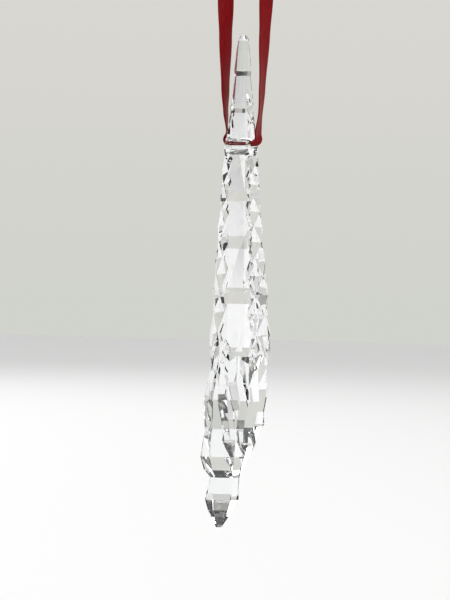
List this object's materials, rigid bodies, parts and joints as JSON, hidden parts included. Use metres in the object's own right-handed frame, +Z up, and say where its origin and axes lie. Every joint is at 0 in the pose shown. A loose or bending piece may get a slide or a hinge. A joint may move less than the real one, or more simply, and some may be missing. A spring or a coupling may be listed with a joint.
{
  "type": "icicle hanging ornament",
  "caption": "Cut crystal icicle with diamond-cut faces and stepped drips, hung by a hole near its top from a knotted loop of dark red satin ribbon.",
  "frame": {"origin": "where the ribbon loop rests on its hook, just under the knot", "axes": "+Z up along the hanging icicle, +Y along the hole towards the back face, +X along the icicle's width"},
  "size_m": [0.0272, 0.0132, 0.1696],
  "materials": {
    "crystal": "polished",
    "satin_ribbon": "satin"
  },
  "bodies": {
    "ribbon": {"ribbon_front": "satin_ribbon", "ribbon_back": "satin_ribbon", "ribbon_knot": "satin_ribbon", "ribbon_tail_front": "satin_ribbon", "ribbon_tail_back": "satin_ribbon"},
    "crystal": {"crystal_icicle": "crystal"}
  },
  "joints": [
    {"name": "icicle_swing", "type": "hinge", "parent": "ribbon", "child": "crystal", "pos_m": [0, 0, -0.0545], "axis": [0, 1, 0], "range_deg": [-90, 90]}
  ]
}
